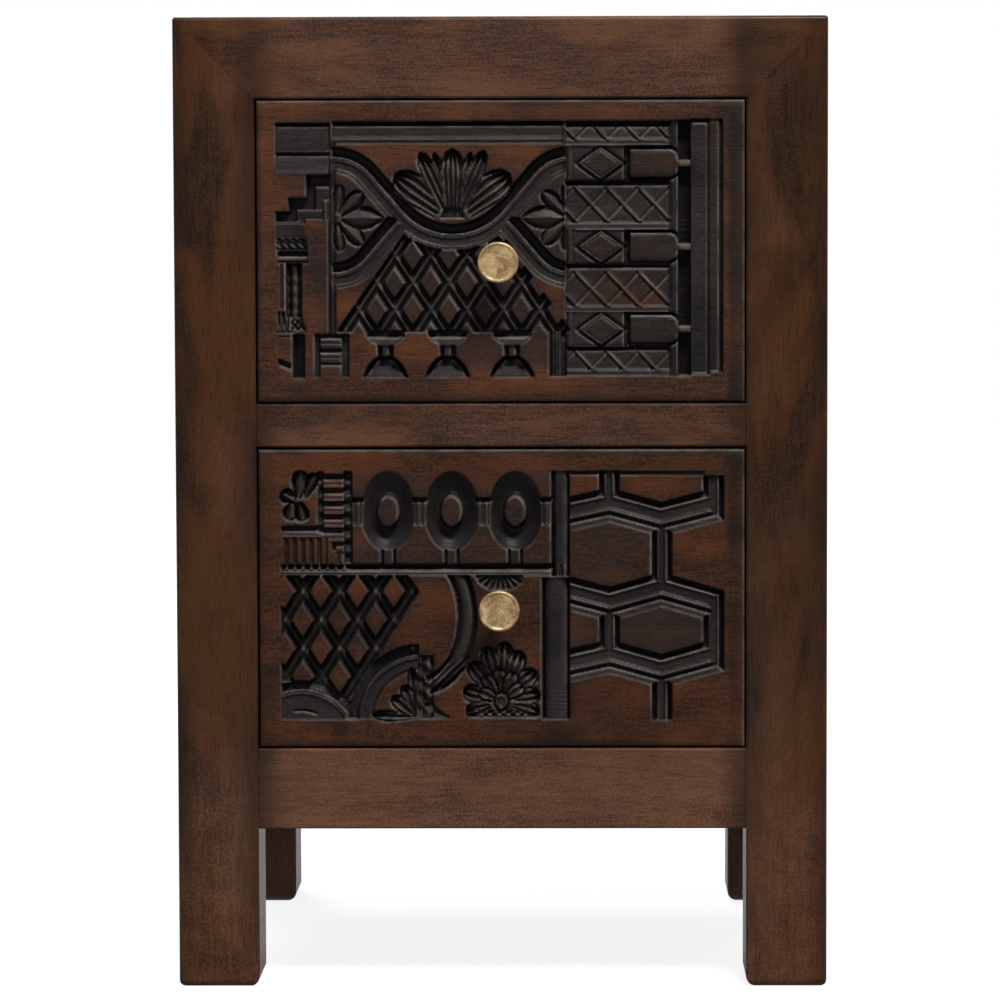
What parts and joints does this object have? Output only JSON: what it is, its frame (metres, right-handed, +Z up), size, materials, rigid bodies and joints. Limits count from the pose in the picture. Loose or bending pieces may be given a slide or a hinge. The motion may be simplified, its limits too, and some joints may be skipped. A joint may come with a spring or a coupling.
{
  "type": "nightstand",
  "caption": "Dark wooden bedside table on square legs, with sliding drawers whose fronts are carved in relief with arches, lotus, lattice and rosette, and round brass knobs.",
  "frame": {"origin": "on the floor, midway across the width and midway from the back to the knobs' faces", "axes": "+Z up, -Y towards the front where the drawers open, +X to the right seen from the front"},
  "size_m": [0.402, 0.374, 0.6],
  "materials": {
    "frame_wood": "dark stain with worn, oiled patches",
    "panel_wood": "dark stain, oiled",
    "carved_wood": "sanded brown with black in the carving",
    "inner_wood": "bare planed wood",
    "brass": "antiqued, rubbed on the edges",
    "steel": "plain"
  },
  "bodies": {
    "carcass": {"front_left_leg": "frame_wood", "front_right_leg": "frame_wood", "rear_left_leg": "frame_wood", "rear_right_leg": "frame_wood", "top_rail_front": "frame_wood", "top_rail_rear": "frame_wood", "top_rail_left": "frame_wood", "top_rail_right": "frame_wood", "bottom_rail_front": "frame_wood", "bottom_rail_rear": "frame_wood", "bottom_rail_left": "frame_wood", "bottom_rail_right": "frame_wood", "drawer_divider": "frame_wood", "side_panel_left": "panel_wood", "side_panel_right": "panel_wood", "top_panel": "panel_wood", "back_panel": "panel_wood", "rear_divider": "inner_wood", "bottom_board": "inner_wood", "corner_pegs": "inner_wood", "drawer_stops": "inner_wood", "upper_runner_left": "inner_wood", "upper_runner_right": "inner_wood", "upper_guide_left": "inner_wood", "upper_guide_right": "inner_wood", "lower_runner_left": "inner_wood", "lower_runner_right": "inner_wood", "lower_guide_left": "inner_wood", "lower_guide_right": "inner_wood", "guide_nails": "steel"},
    "upper_drawer": {"upper_drawer_front": "carved_wood", "upper_drawer_left": "inner_wood", "upper_drawer_right": "inner_wood", "upper_drawer_back": "inner_wood", "upper_drawer_bottom": "inner_wood", "upper_drawer_nails": "steel", "upper_knob": "brass", "upper_knob_screw": "steel", "upper_knob_washer": "brass"},
    "lower_drawer": {"lower_drawer_front": "carved_wood", "lower_drawer_left": "inner_wood", "lower_drawer_right": "inner_wood", "lower_drawer_back": "inner_wood", "lower_drawer_bottom": "inner_wood", "lower_drawer_nails": "steel", "lower_knob": "brass", "lower_knob_screw": "steel", "lower_knob_washer": "brass"}
  },
  "joints": [
    {"name": "upper_drawer_slide", "type": "slide", "parent": "carcass", "child": "upper_drawer", "axis": [0, -1, 0], "range_m": [0, 0.21]},
    {"name": "lower_drawer_slide", "type": "slide", "parent": "carcass", "child": "lower_drawer", "axis": [0, -1, 0], "range_m": [0, 0.21]}
  ]
}
